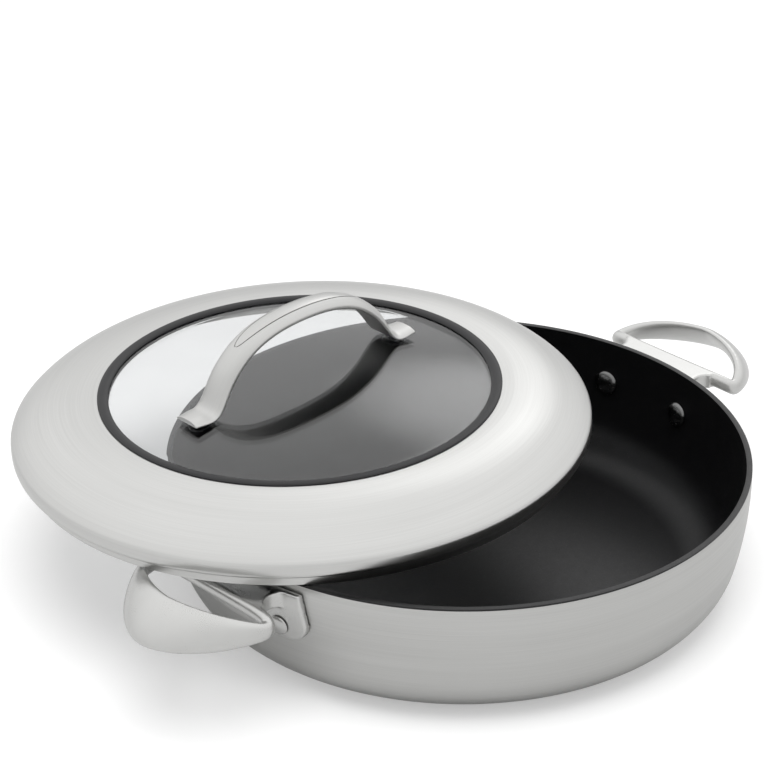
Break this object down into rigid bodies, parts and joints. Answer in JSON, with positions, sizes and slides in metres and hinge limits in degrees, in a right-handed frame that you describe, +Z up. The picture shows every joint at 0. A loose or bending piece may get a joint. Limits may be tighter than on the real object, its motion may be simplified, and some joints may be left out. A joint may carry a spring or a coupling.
{
  "type": "chef pan with lid",
  "caption": "Wide lined steel chef pan with cast loop side handles riveted on, and a domed steel lid with a sealed glass window and an arched handle, lying askew on the rim.",
  "frame": {"origin": "centre of the pan's flat base, on the surface it stands on", "axes": "+Z up along the pan's axis, +X out along the right side handle, in millimetres in the source and metres here"},
  "size_m": [0.4594, 0.3929, 0.1579],
  "materials": {
    "brushed_shell": "brushed round the pan",
    "nonstick_lining": "aluminium layer under a black non-stick coating, faintly textured",
    "cast_handle": "satin, as cast and blasted",
    "rivet_steel": "polished dome",
    "brushed_lid": "finely brushed round the lid",
    "grey_silicone": "satin dark grey silicone",
    "window_glass": "clear, faintly grey",
    "bright_steel": "bright turned steel"
  },
  "bodies": {
    "pan": {"pan_shell": "brushed_shell", "pan_lining": "nonstick_lining", "side_handle_right": "cast_handle", "side_handle_left": "cast_handle", "handle_rivet_right_a": "rivet_steel", "handle_rivet_right_b": "rivet_steel", "handle_rivet_left_a": "rivet_steel", "handle_rivet_left_b": "rivet_steel"},
    "lid": {"lid_ring": "brushed_lid", "lid_gasket": "grey_silicone", "lid_glass": "window_glass", "lid_handle": "cast_handle", "foot_pad_right": "grey_silicone", "foot_pad_left": "grey_silicone", "foot_ferrule_right": "bright_steel", "foot_ferrule_left": "bright_steel", "lid_screw_right": "bright_steel", "lid_screw_left": "bright_steel", "screw_washer_right": "grey_silicone", "screw_washer_left": "grey_silicone"}
  },
  "joints": [
    {"name": "lid_lift", "type": "slide", "parent": "pan", "child": "lid", "axis": [0, 0, 1], "range_m": [0, 0.15]}
  ]
}
